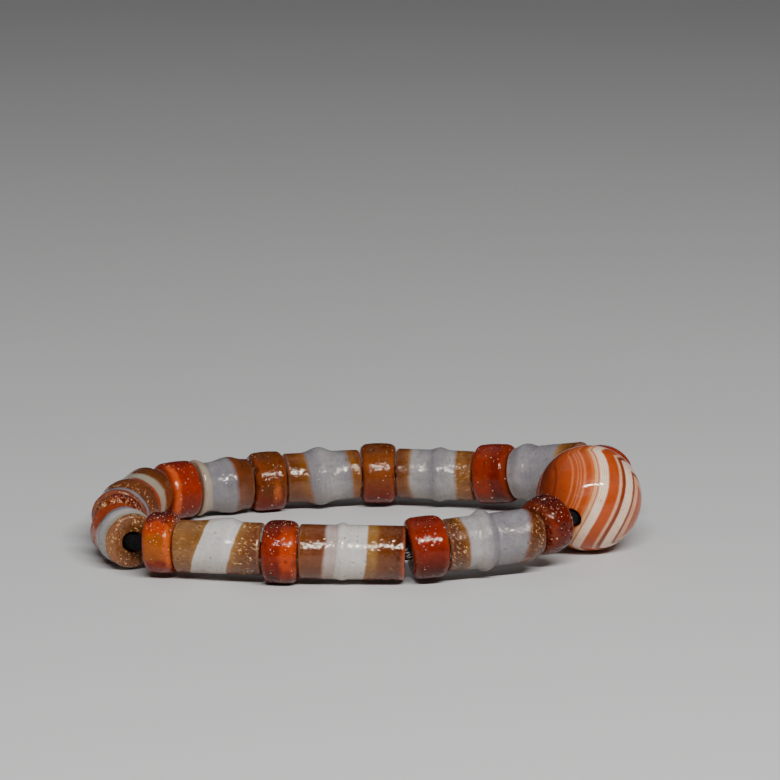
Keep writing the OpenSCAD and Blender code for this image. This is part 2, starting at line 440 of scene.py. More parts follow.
@dataclass
class TurnedBead:
    """A rondelle or a bamboo bead: a closed outline turned about the hole, then worn.

    wave_sizes are the sizes of the unevenness and each one's share of the carving's
    waves. proud is how far it may stand out of the true shape. rim_reach is how far a
    rim's mask goes beyond its rounding, and pit_full the depth that fills a pit's mask.
    """

    shape: BeadShape
    seat: Seat
    carving: Carving
    first_skew: FaceSkew
    last_skew: FaceSkew
    round_steps: int = 168
    side_steps: int = 112
    rim_steps: int = 10
    face_steps: int = 14
    bore_steps: int = 14
    bore_edge: float = 0.22
    wave_sizes: tuple[tuple[float, float], ...] = ((2.6, 1.0), (1.1, 0.5), (0.45, 0.22))
    proud: float = 0.09
    rim_reach: float = 0.25
    pit_full: float = 0.12

    def _body(self, x: np.ndarray) -> np.ndarray:
        """Straight line between the two end radii."""
        s = self.shape
        return s.first_radius + (s.last_radius - s.first_radius) * x / s.length

    def _swell(self, x: np.ndarray) -> np.ndarray:
        """Rise and fall of the ridge, as half cosine waves.

        Args:
            x: Distances along the hole.

        Returns:
            Shares of the ridge's height, from 0 to 1.
        """
        s = self.shape
        away = np.where(x < s.ridge_at, (s.ridge_at - x) / s.rise, (x - s.ridge_at) / s.fall)
        return (1 + np.cos(np.pi * np.minimum(away, 1))) / 2

    def _trimmed(self, away: np.ndarray) -> np.ndarray:
        """What a rim's quarter round takes off the radius.

        Args:
            away: Distances from the rim's face.

        Returns:
            What comes off, 0 from the rounding's end on.
        """
        e = self.shape.edge
        short = np.clip(e - away, 0, e)
        return e - np.sqrt(np.maximum(e * e - short * short, 0))

    def _side(self, x: np.ndarray) -> np.ndarray:
        """Radius of the side without its ridge: body, lip and both rims.

        Args:
            x: Distances along the hole.

        Returns:
            The radii. The lip flares towards the last face as a half cosine wave.
        """
        away = np.clip((self.shape.length - x) / LIP_LENGTH, 0, 1)
        flare = self.shape.lip * (1 + np.cos(np.pi * away)) / 2
        return self._body(x) + flare - self._trimmed(x) - self._trimmed(self.shape.length - x)

    def outline(self) -> tuple[np.ndarray, np.ndarray, np.ndarray]:
        """The closed outline: side with both rims, last face, bore, first face.

        Returns:
            Distances along the hole, radii, and how far each point follows the outside:
            1 on the side, falling to 0 at the bore.
        """
        length, edge, lead = self.shape.length, self.shape.edge, self.bore_edge
        quarter = edge * (1 - np.cos(np.linspace(0, np.pi / 2, self.rim_steps)))
        side = np.linspace(edge, length - edge, self.side_steps)[1:-1]
        x_side = np.concatenate([quarter, side, length - quarter[::-1]])
        r_side = self._side(x_side)
        turn = np.linspace(0, np.pi / 2, 5)
        x_mouth, r_mouth = lead * (1 - np.cos(turn)), BORE_RADIUS + lead * (1 - np.sin(turn))
        share = np.linspace(0, 1, self.face_steps)[1:-1]
        mouth = BORE_RADIUS + lead
        hole = np.linspace(length - lead, lead, self.bore_steps)[1:-1]
        parts = (
            (x_side, r_side, np.ones_like(x_side)),
            (np.full_like(share, length), r_side[-1] + (mouth - r_side[-1]) * share, 1 - share),
            (length - x_mouth, r_mouth, np.zeros_like(turn)),
            (hole, np.full_like(hole, BORE_RADIUS), np.zeros_like(hole)),
            (x_mouth[::-1], r_mouth[::-1], np.zeros_like(turn)),
            (np.zeros_like(share), mouth + (r_side[0] - mouth) * share, share),
        )
        x, r, follow = (np.concatenate(column) for column in zip(*parts))
        return x, r, follow

    def _uneven(self, angle: np.ndarray) -> np.ndarray:
        """Out-of-round factor: one plus two and three waves round the bead.

        Args:
            angle: Angles about the hole, in radians.

        Returns:
            The factors.
        """
        two, three = np.random.default_rng(self.carving.seed).uniform(0, 2 * np.pi, 2)
        waves = np.cos(2 * angle + two) + 0.5 * np.cos(3 * angle + three)
        return 1 + self.carving.oval * waves

    def _marks(self) -> list[tuple[float, float, float, float]]:
        """Pits anywhere on the side and chips near the faces.

        Returns:
            The place along the hole, angle in degrees, size and depth of each.
        """
        c, length = self.carving, self.shape.length
        rng = np.random.default_rng(c.seed + 1)
        marks = []
        for _ in range(c.pits):
            size = c.pit_size * rng.uniform(0.6, 1.5)
            place, angle = rng.uniform(0, length), rng.uniform(0, 360)
            marks.append((place, angle, size, size * rng.uniform(0.2, 0.45)))
        for _ in range(c.chips):
            end = float(rng.choice([0.1, length - 0.1]))
            size = rng.uniform(0.35, 0.8)
            marks.append((end, rng.uniform(0, 360), size, size * rng.uniform(0.15, 0.3)))
        return marks

    def _hollows(self, local: np.ndarray) -> np.ndarray:
        """Depth of all pits and chips at every point.

        Each is a bowl about a point of the side: its depth times one less the squared
        share of its size that a point is away, to the power 1.5, and nothing beyond.

        Args:
            local: Points in the bead's own coordinates.

        Returns:
            One depth for each point.
        """
        depth = np.zeros(local.shape[:-1])
        for along, angle, size, deep in self._marks():
            centre = spun(np.array(along), self._side(np.array(along)), np.radians(angle))
            away = np.linalg.norm(local - centre, axis=-1) / size
            depth += deep * np.maximum(1 - away**2, 0) ** 1.5
        return depth

    def _skewed(self, local: np.ndarray) -> np.ndarray:
        """Points moved along the hole as the two faces are skewed.

        Args:
            local: Points in the bead's own coordinates.

        Returns:
            The moved points. Each face's shift falls off with the cube of the way to it.
        """
        share = np.clip(local[..., 0] / self.shape.length, 0, 1)
        moved = local.copy()
        for skew, weight in ((self.first_skew, 1 - share), (self.last_skew, share)):
            shift = skew.more + skew.up * local[..., 1] + skew.out * local[..., 2]
            moved[..., 0] += weight**3 * shift
        return moved

    def local_points(self) -> tuple[np.ndarray, dict[str, np.ndarray]]:
        """Points of the worn bead in its own coordinates, and the masks of its surface.

        The outline is turned about the hole, made uneven, given its ridge, pushed in and
        out by smooth noise along its normals, and hollowed by pits and chips.

        Returns:
            The grid of points, and the fields "rim" and "pit".
        """
        c, s = self.carving, self.shape
        x, r, follow = (column[:, None] for column in self.outline())
        angle = np.linspace(0, 2 * np.pi, self.round_steps, endpoint=False)[None, :]
        stands = 1 - c.ridge_bias * (1 - np.cos(angle)) / 2
        height = s.ridge_radius - float(self._body(np.array(s.ridge_at)))
        on_side = (follow == 1).astype(float)
        grown = r + on_side * height * self._swell(x) * stands
        for place, depth, width in c.grooves:
            grown = grown - on_side * depth * np.exp(-(((x - place) / width) ** 2))
        radius = BORE_RADIUS + (grown - BORE_RADIUS) * (1 + follow * (self._uneven(angle) - 1))
        local = self._skewed(spun(x, radius, angle))
        waves = c.waves * unevenness(local, self.wave_sizes, c.seed + 2)
        pits = self._hollows(local)
        worn = np.minimum(follow * waves - np.minimum(follow * 4, 1) * pits, self.proud)
        local = local + worn[..., None] * grid_normals(local)
        rim = np.clip(1 - np.minimum(x, s.length - x) / (s.edge + self.rim_reach), 0, 1) * follow
        pit = np.clip(pits / self.pit_full, 0, 1)
        return local, {"rim": np.broadcast_to(rim, radius.shape), "pit": pit}

    def build(self) -> bpy.types.Object:
        """Makes the bead's object, with its own coordinates as an attribute."""
        local, masks = self.local_points()
        placed = self.seat.place(local, self.shape.length)
        return closed_surface(f"{self.shape.name}_stone", placed, {"stone": local, **masks})


@dataclass
class EyeBead:
    """The large round bead: a ball with a hole along its own axis."""

    shape: BeadShape
    seat: Seat
    seed: int = 81
    round_steps: int = 300
    ball_steps: int = 240
    bore_steps: int = 24
    bore_edge: float = 0.25
    wave_sizes: tuple[tuple[float, float], ...] = ((4.0, 0.02), (1.3, 0.006))
    sunk: float = 0.02

    def build(self) -> bpy.types.Object:
        """Makes the ball from an arc turned about the hole, closed through the bore.

        The arc runs from one mouth of the hole to the other at the ball's radius, and each
        mouth has a small quarter round that leads into the bore.

        Returns:
            The bead's object.
        """
        lead = self.bore_edge
        mouth = math.asin((BORE_RADIUS + lead) / ROUND_RADIUS)
        arc = np.linspace(mouth, np.pi - mouth, self.ball_steps)
        x_arc, r_arc = -ROUND_RADIUS * np.cos(arc), ROUND_RADIUS * np.sin(arc)
        turn = np.linspace(0, np.pi / 2, 6)[1:]
        x_lead = x_arc[-1] - lead * (1 - np.cos(turn))
        r_lead = BORE_RADIUS + lead * (1 - np.sin(turn))
        x_hole = np.linspace(x_lead[-1], -x_lead[-1], self.bore_steps)[1:-1]
        x = np.concatenate([x_arc, x_lead, x_hole, -x_lead[::-1]])[:, None]
        r = np.concatenate([r_arc, r_lead, np.full_like(x_hole, BORE_RADIUS), r_lead[::-1]])[:, None]
        outside = (np.arange(len(x)) < len(arc))[:, None]
        local = spun(x, r, np.linspace(0, 2 * np.pi, self.round_steps, endpoint=False))
        waves = outside * (unevenness(local, self.wave_sizes, self.seed) - self.sunk)
        local = local + waves[..., None] * grid_normals(local)
        local[..., 0] += self.shape.length / 2
        placed = self.seat.place(local, self.shape.length)
        return closed_surface(f"{self.shape.name}_stone", placed, {"stone": local})


@dataclass
class KnittedCord:
    """The cord: a round tube with columns of knitted stitches all along it."""

    row: Row
    columns: int = 8
    stitch: float = 0.95
    relief: float = 0.2
    slip: float = 0.55
    round_steps: int = 64

    def build(self) -> bpy.types.Object:
        """Makes the tube, its radius lowered between the stitches.

        Each column holds a chain of V-shaped stitches: the height is a cosine along the
        cord whose phase slips back towards the column's two sides, times a half wave
        across each leg of the V.

        Returns:
            The cord's object.
        """
        line = self.row.cord_route(bends=22, straights=6)
        ahead = np.roll(line, -1, 0) - np.roll(line, 1, 0)
        ahead /= np.linalg.norm(ahead, axis=1, keepdims=True)
        side = np.cross([0.0, 0.0, 1.0], ahead)
        side /= np.linalg.norm(side, axis=1, keepdims=True)
        up = np.cross(ahead, side)
        steps = np.linalg.norm(np.roll(line, -1, 0) - line, axis=1)
        far = np.concatenate([[0.0], np.cumsum(steps)[:-1]])[:, None]
        pitch = steps.sum() / round(steps.sum() / self.stitch)
        angle = np.linspace(0, 2 * np.pi, self.round_steps, endpoint=False)[None, :]
        column = angle / (2 * np.pi) * self.columns
        across = np.abs(column - np.floor(column) - 0.5) * 2
        phase = far / pitch - self.slip * across
        legs = np.sqrt(np.abs(np.sin(np.pi * np.clip(across, 0.02, 0.98))))
        height = (0.5 + 0.5 * np.cos(2 * np.pi * phase)) ** 0.7 * legs
        radius = CORD_RADIUS - self.relief * (1 - height)
        ring = np.cos(angle)[..., None] * side[:, None, :] + np.sin(angle)[..., None] * up[:, None, :]
        points = line[:, None, :] + radius[..., None] * ring
        local = np.stack([*np.broadcast_arrays(far, column), height], -1)
        return closed_surface("cord_knit", points, {"thread": local})


Feed = Union["Field", bpy.types.NodeSocket, float, Colour, None]


class Field:
    """A socket whose value changes over a surface. Arithmetic on numbers adds Math nodes."""

    def __init__(self, wiring: "Wiring", socket: bpy.types.NodeSocket) -> None:
        """Keeps the socket, and the wiring of its tree."""
        self.wiring = wiring
        self.socket = socket

    def __add__(self, other: Feed) -> "Field":
        """Sum."""
        return self.wiring.math("ADD", self, other)

    def __sub__(self, other: Feed) -> "Field":
        """Difference."""
        return self.wiring.math("SUBTRACT", self, other)

    def __rsub__(self, other: Feed) -> "Field":
        """Difference from a plain number."""
        return self.wiring.math("SUBTRACT", other, self)

    def __mul__(self, other: Feed) -> "Field":
        """Product."""
        return self.wiring.math("MULTIPLY", self, other)

    def __rtruediv__(self, other: Feed) -> "Field":
        """A plain number divided by the field."""
        return self.wiring.math("DIVIDE", other, self)

    def __or__(self, other: Feed) -> "Field":
        """The larger of two numbers, which joins two masks."""
        return self.wiring.math("MAXIMUM", self, other)

    __rmul__ = __mul__


class Wiring:
    """Adds nodes to one node tree and links them."""

    def __init__(self, tree: bpy.types.NodeTree) -> None:
        """Keeps the tree that the nodes go into."""
        self.tree = tree

    def put(self, kind: str, *values: Feed, setting: dict | None = None, **named: Feed) -> bpy.types.Node:
        """Adds a node.

        Args:
            kind: The node's type.
            values: Values or sockets for its inputs, in their order. None skips one.
            setting: The node's own properties.
            named: Values or sockets by input name.

        Returns:
            The node.
        """
        node = self.tree.nodes.new(kind)
        for key, value in (setting or {}).items():
            setattr(node, key, value)
        for key, value in (*enumerate(values), *named.items()):
            if value is not None:
                self.feed(node.inputs[key], value)
        return node

    def feed(self, target: bpy.types.NodeSocket, value: Feed) -> None:
        """Links a field or a socket to an input, or sets the input's value.

        Args:
            target: The input.
            value: What it takes. A colour of three numbers gets an alpha of 1.
        """
        if isinstance(value, Field):
            value = value.socket
        if isinstance(value, bpy.types.NodeSocket):
            self.tree.links.new(value, target)
        elif target.type == "RGBA":
            target.default_value = (*value, 1.0)
        else:
            target.default_value = value

    def result(self, kind: str, *values: Feed, output: int | str = 0, **more: object) -> Field:
        """Adds a node as put does, and gives one of its outputs."""
        return Field(self, self.put(kind, *values, **more).outputs[output])

    def math(self, operation: str, *values: Feed) -> Field:
        """One Math node's result."""
        return self.result("ShaderNodeMath", *values, setting={"operation": operation})

    def vector(self, operation: str, *values: Feed) -> Field:
        """One Vector Math node's result: a vector, or the number of a dot product."""
        output = "Value" if operation == "DOT_PRODUCT" else "Vector"
        return self.result("ShaderNodeVectorMath", *values, output=output, setting={"operation": operation})

    def scaled(self, vector: Feed, factor: Feed) -> Field:
        """A vector or a colour times a number."""
        return self.vector("SCALE", vector, None, None, factor)

    def mapped(self, where: Feed, turn: Feed = None, scale: Feed = None) -> Field:
        """Coordinates turned, in radians, or stretched."""
        return self.result("ShaderNodeMapping", where, None, turn, scale)

    def levels(
        self, value: Feed, low: float, high: float, to_low: Feed = 0.0, to_high: Feed = 1.0
    ) -> Field:
        """Maps low to high onto to_low to to_high, and holds those values beyond them."""
        return self.result("ShaderNodeMapRange", value, low, high, to_low, to_high)

    def clamped(self, value: Feed) -> Field:
        """A number kept between 0 and 1."""
        return self.levels(value, 0.0, 1.0)

    def inside(self, value: Feed, low: float, high: float, soft: float) -> Field:
        """1 between low and high, falling to 0 over soft beyond each."""
        return self.levels(value, low - soft, low) * self.levels(value, high, high + soft, 1.0, 0.0)

    def noise(self, where: Feed, size: float, detail: float = 3.0, rough: float = 0.5) -> Field:
        """Noise around 0.5 whose largest blotches are about size millimetres."""
        named = {"Vector": where, "Scale": 1.0 / size, "Detail": detail, "Roughness": rough}
        return self.result("ShaderNodeTexNoise", **named)

    def swing(self, where: Feed, size: float, detail: float, rough: float) -> Field:
        """The same noise, around 0."""
        return self.noise(where, size, detail, rough) - 0.5

    def cells(self, where: Feed, size: Feed, feature: str = "F1") -> bpy.types.Node:
        """A texture of irregular cells about size millimetres wide."""
        return self.put("ShaderNodeTexVoronoi", Vector=where, Scale=1.0 / size, setting={"feature": feature})

    def axes(self, where: Feed) -> tuple[Field, ...]:
        """The three parts of a vector or a colour."""
        return tuple(Field(self, part) for part in self.put("ShaderNodeSeparateXYZ", where).outputs)

    def read(self, name: str, output: str = "Fac") -> Field:
        """An attribute of the piece: its number, or its vector."""
        return self.result("ShaderNodeAttribute", output=output, setting={"attribute_name": name})

    def mix(self, share: Feed, one: Feed, two: Feed, blend: str = "MIX") -> Field:
        """Mixes two colours by a share. They are the node's seventh and eighth inputs."""
        setting = {"data_type": "RGBA", "blend_type": blend}
        return self.result("ShaderNodeMix", share, *[None] * 5, one, two, output=2, setting=setting)

    def tinted(self, colour: Feed, *layers: tuple[Feed, Colour]) -> Feed:
        """Lays other colours over a colour, one after the other.

        Args:
            colour: The colour underneath.
            layers: The mask and the colour of each layer.

        Returns:
            The colour with its layers.
        """
        for share, tone in layers:
            colour = self.mix(share, colour, tone)
        return colour

    def ramp(self, value: Feed, stops: Bands, low: float, high: float) -> Field:
        """Colour by a number.

        Args:
            value: The number.
            stops: Numbers and the colours there, in rising order.
            low: A number below all stops.
            high: A number above all stops.

        Returns:
            The colour, evenly mixed from stop to stop.
        """
        node = self.put("ShaderNodeValToRGB", self.levels(value, low, high))
        elements = node.color_ramp.elements
        elements.remove(elements[-1])
        for i, (number, colour) in enumerate(stops):
            place = (number - low) / (high - low)
            element = elements.new(place) if i else elements[0]
            element.position = place
            element.color = (*colour, 1.0)
        return Field(self, node.outputs[0])

    def dress(
        self, shader: bpy.types.Node, colour: Feed, rough: Feed, relief: Feed, depth: float,
        strength: float = 1.0,
    ) -> None:
        """Feeds a shader its colour, roughness and bumps.

        Args:
            shader: The Principled shader.
            colour: The base colour.
            rough: The roughness.
            relief: The height of the surface.
            depth: What a height of 1 stands for, in millimetres.
            strength: How far the bumps count.
        """
        bump = self.result("ShaderNodeBump", Strength=strength, Distance=depth * MM, Height=relief)
        for name, value in (("Base Color", colour), ("Roughness", rough), ("Normal", bump)):
            self.feed(shader.inputs[name], value)


def new_material(name: str) -> tuple[bpy.types.Material, Wiring, bpy.types.Node]:
    """Makes a material with its Principled shader wired to the surface.

    Args:
        name: The material's name.

    Returns:
        The material, its wiring and its shader.
    """
    material = bpy.data.materials.new(name)
    material.use_nodes = True
    material.node_tree.nodes.clear()
    w = Wiring(material.node_tree)
    shader = w.put("ShaderNodeBsdfPrincipled")
    w.put("ShaderNodeOutputMaterial", shader.outputs[0])
    return material, w, shader


@dataclass(frozen=True)
class Gloss:
    """What is the same all over a polished stone.

    glow is how much light goes into the stone and comes out again, and reach how far red,
    green and blue go in, in millimetres. shine is the strength of the mirror shine, 0.5
    for plain stone, and tint its colour.
    """

    glow: float
    reach: Colour
    shine: float
    tint: Colour = (1.0, 0.88, 0.72)
    refraction: float = 1.54

    def put_on(self, shader: bpy.types.Node) -> None:
        """Sets it on the Principled shader itself."""
        values = {
            "IOR": self.refraction,
            "Specular IOR Level": self.shine,
            "Specular Tint": (*self.tint, 1.0),
            "Subsurface Weight": self.glow,
            "Subsurface Radius": self.reach,
            "Subsurface Scale": MM,
        }
        for name, value in values.items():
            shader.inputs[name].default_value = value


class Effect:
    """An effect that several stones share: a node group with one result.

    Its first input is the vector Where, in millimetres. The others are numbers.
    """

    def __init__(self, name: str, result: str, **numbers: float) -> None:
        """Makes the empty group with its sockets.

        Args:
            name: The group's name.
            result: The name of its result.
            numbers: The defaults of its numbers, by name.
        """
        self.tree = bpy.data.node_groups.new(name, "ShaderNodeTree")
        new_socket = self.tree.interface.new_socket
        new_socket("Where", in_out="INPUT", socket_type="NodeSocketVector")
        for key, value in numbers.items():
            new_socket(key, in_out="INPUT", socket_type="NodeSocketFloat").default_value = value
        new_socket(result, in_out="OUTPUT", socket_type="NodeSocketFloat")
        self.wiring = Wiring(self.tree)
        given = self.wiring.put("NodeGroupInput").outputs
        self.inputs = [Field(self.wiring, given[key]) for key in ("Where", *numbers)]

    def closed(self, result: Field) -> "Effect":
        """Feeds the group's result, which finishes it."""
        self.wiring.put("NodeGroupOutput", result)
        return self

    def on(self, w: Wiring, where: Feed, **values: Feed) -> Field:
        """Places the group in a material with its own values, and gives its result."""
        return w.result("ShaderNodeGroup", setting={"node_tree": self.tree}, Where=where, **values)


class StoneEffects:
    """The effects that the stones share, each built once."""

    def __init__(self) -> None:
        """Builds every effect."""
        self.pinholes = self._pinholes()
        self.scratches = self._scratches()
        self.crackle = self._crackle()
        self.worn = self._worn()
        self.facets = self._facets()

    @staticmethod
    def _pinholes() -> Effect:
        """Small round holes of many sizes: near a cell's point, within that cell's radius."""
        effect = Effect("pinholes", "Mask", Size=0.4, Share=0.5)
        w, (where, size, share) = effect.wiring, effect.inputs
        cell = w.cells(where, size)
        wide, chance, _ = w.axes(cell.outputs["Color"])
        shown = w.math("LESS_THAN", chance, share)
        return effect.closed(w.clamped((wide * wide * 0.42 - cell.outputs["Distance"]) * 10.0) * shown)

    @staticmethod
    def _scratches() -> Effect:
        """Thin broken lines three ways: where a noise drawn out along a line crosses its middle."""
        effect = Effect("fine_scratches", "Mask", Share=0.5)
        w, (where, share) = effect.wiring, effect.inputs
        ways = (((0.3, 0.2, 0.5), 9.0), ((0.9, -0.6, -0.7), 7.0), ((-0.2, 1.1, 1.3), 11.0))
        held_back = w.levels(share, 0, 1, 0.62, 0.38)
        total = 0.0
        for turn, stretch in ways:
            turned = w.mapped(where, turn=turn)
            drawn = w.mapped(turned, scale=(0.35, stretch, stretch))
            off = w.math("ABSOLUTE", w.swing(drawn, 3.0, 1.0, 0.5))
            kept = w.clamped((w.noise(turned, 1.6, 2.0) - held_back) * 9.0)
            total = w.levels(off, 0.0, 0.012, 1.0, 0.0) * kept | total
        return effect.closed(total)

    @staticmethod
    def _crackle() -> Effect:
        """A net of hair cracks: near the walls between bent cells, stronger in patches."""
        effect = Effect("crackle", "Mask", Size=0.6, Share=0.5)
        w, (where, size, share) = effect.wiring, effect.inputs
        bent = w.put("ShaderNodeTexNoise", Vector=where, Scale=2.2, Detail=2.0).outputs["Color"]
        moved = w.vector("MULTIPLY_ADD", bent, (0.35, 0.35, 0.35), where)
        wall = w.cells(moved, size, "DISTANCE_TO_EDGE").outputs["Distance"]
        held = w.clamped((w.noise(where, 2.0, 2.0) + share * 0.5 - 0.75) * 6.0)
        return effect.closed(w.levels(wall, 0.0, 0.07, 1.0, 0.0) * held)

    @staticmethod
    def _worn() -> Effect:
        """Wear on the rims: the rim mask broken up by noise."""
        effect = Effect("worn_rims", "Mask", Rim=0.0, Share=0.5)
        w, (where, rim, share) = effect.wiring, effect.inputs
        broken = w.noise(where, 0.7, 4.0, 0.65)
        return effect.closed(w.clamped((rim + broken + share * 0.5 - 1.0) * 3.0))

    @staticmethod
    def _facets() -> Effect:
        """Small flat faces, each tilted its own way: a plane through every cell's point."""
        effect = Effect("facets", "Height", Size=0.3)
        w, (where, size) = effect.wiring, effect.inputs
        cell = w.cells(where, size)
        tilt = w.vector("SUBTRACT", cell.outputs["Color"], (0.5, 0.5, 0.5))
        away = w.vector("SUBTRACT", where, cell.outputs["Position"])
        return effect.closed(w.vector("DOT_PRODUCT", tilt, away))


Bead = Union[TurnedBead, EyeBead]
Surface = tuple[Feed, Field, Field]


class StoneFinish(ABC):
    """How a polished stone looks. Each kind of stone works out its own surface.

    slot is its slot in the record, gloss what is the same all over it, and depth the
    height of its bumps in millimetres.
    """

    slot: ClassVar[Slot]
    gloss: ClassVar[Gloss]
    depth: float

    @abstractmethod
    def surface(self, w: Wiring, where: Field, bead: Bead, effects: StoneEffects) -> Surface:
        """Works out the surface at every point.

        Args:
            w: The material's wiring.
            where: The bead's own coordinates.
            bead: The bead.
            effects: The shared effects.

        Returns:
            The colour, the roughness and the height. A height of 1 is depth millimetres.
        """

    def material(self, name: str, bead: Bead, effects: StoneEffects) -> bpy.types.Material:
        """Builds the bead's material.

        Args:
            name: The material's name.
            bead: The bead.
            effects: The shared effects.

        Returns:
            The material.
        """
        material, w, shader = new_material(name)
        colour, rough, height = self.surface(w, w.read("stone", "Vector"), bead, effects)
        w.dress(shader, colour, w.clamped(rough), height, self.depth)
        self.gloss.put_on(shader)
        return material


@dataclass(frozen=True)
class GlowPatch:
    """A clear place in a stone, painted brighter as the glow of light that passes through it.

    along and up say from where to where it goes, and soft is how wide its edge is.
    """

    along: tuple[float, float]
    up: tuple[float, float]
    colour: Colour
    soft: float


@dataclass(frozen=True)
class CarnelianFinish(StoneFinish):
    """Glossy translucent carnelian, coloured by height with painted light: painted shade on top and
    underneath, a painted glow between.

    Its painted light layers are heights above the hole and the colours there, from low to
    high: painted shade on top and underneath and a painted glow between them, in clouds.
    patches are clear places in them, painted brighter with the glow of light that passes
    through. lean tips the layers: how much higher a point counts for each millimetre out
    of the loop. cloud is the size of the clouds, specks the share of pale pinpoints, partly
    pinholes and partly painted highlights, ripple the height of the slow waves, grit how
    far the small flat faces are tilted, and glints how far the rims show painted golden
    glints.
    """

    slot: ClassVar[Slot] = Slot.CARNELIAN
    gloss: ClassVar[Gloss] = Gloss(glow=0.5, reach=(2.4, 0.5, 0.12), shine=0.3)
    rim_tone: ClassVar[Colour] = (0.30, 0.05, 0.012)
    painted_glint_tone: ClassVar[Colour] = (0.92, 0.58, 0.24)
    pit_tone: ClassVar[Colour] = (0.05, 0.008, 0.004)
    speck_glint_tone: ClassVar[Colour] = (0.85, 0.62, 0.46)

    painted_light_layers: Bands
    patches: tuple[GlowPatch, ...] = ()
    lean: float = -0.23
    cloud: float = 1.6
    specks: float = 0.35
    ripple: float = 0.5
    grit: float = 0.3
    glints: float = 0.0
    depth: float = 0.16

    def _layers(self, w: Wiring, where: Field) -> Feed:
        """Colour of the stone with its painted shade and painted glow, before wear.

        Args:
            w: The material's wiring.
            where: The bead's own coordinates.

        Returns:
            The colour.
        """
        along, up, out = w.axes(where)
        drift = w.swing(where, self.cloud, 5.0, 0.62)
        # painted shade and painted glow follow this height, tipped by lean
        height = out * self.lean + up
        colour = w.ramp(drift * 3.4 + height, self.painted_light_layers, -5.0, 5.0)
        # each patch paints a clear place brighter, as the glow of light that passes through
        for patch in self.patches:
            near = w.inside(drift * 0.9 + along, *patch.along, patch.soft)
            level = w.inside(drift * 1.2 + height, *patch.up, patch.soft * 3)
            colour = w.mix(near * level, colour, patch.colour)
        return colour

    def surface(self, w: Wiring, where: Field, bead: Bead, effects: StoneEffects) -> Surface:
        """Lays wear, painted golden glints on the rims, pits and pale specks, partly painted highlights,
        over the layers.

        Args:
            w: The material's wiring.
            where: The bead's own coordinates.
            bead: The bead.
            effects: The shared effects.

        Returns:
            The colour, the roughness and the height.
        """
        rim, pit = w.read("rim"), w.read("pit")
        veil = w.levels(w.noise(where, 0.8, 5.0, 0.65), 0.3, 0.7, 0.78, 1.16)
        # pale pinpoints, partly pinholes and partly painted highlights, more of them towards the top
        share = w.levels(w.axes(where)[1], 0.8, 3.2, self.specks * 0.3, self.specks)
        share = share * w.levels(w.noise(where, 2.2, 2.0), 0.4, 0.6, 0.5, 1.3)
        large = effects.pinholes.on(w, where, Size=0.40, Share=share)
        small = effects.pinholes.on(w, where, Size=0.22, Share=share)
        speck_glint = large | small
        worn = effects.worn.on(w, where, Rim=rim, Share=0.3)
        # painted golden glints along the rims
        glint = w.levels(w.noise(where, 0.30, 2.0, 0.6), 0.53, 0.62) * rim
        colour = w.tinted(
            w.scaled(self._layers(w, where), veil),
            (worn * 0.25, self.rim_tone),
            (glint * self.glints, self.painted_glint_tone),
            (pit * 0.45, self.pit_tone),
            (speck_glint * 0.9, self.speck_glint_tone),
        )
        rough = w.levels(w.noise(where, 0.6, 4.0, 0.6), 0.3, 0.7, 0.05, 0.20)
        gritty = w.levels(w.noise(where, 1.3, 3.0, 0.6), 0.48, 0.62) * (self.grit * 10)
        facets = effects.facets.on(w, where, Size=0.34) * gritty
        relief = w.noise(where, 1.0, 3.0, 0.6) * self.ripple + facets - speck_glint * 0.5
        return colour, rough + speck_glint * 0.25, relief


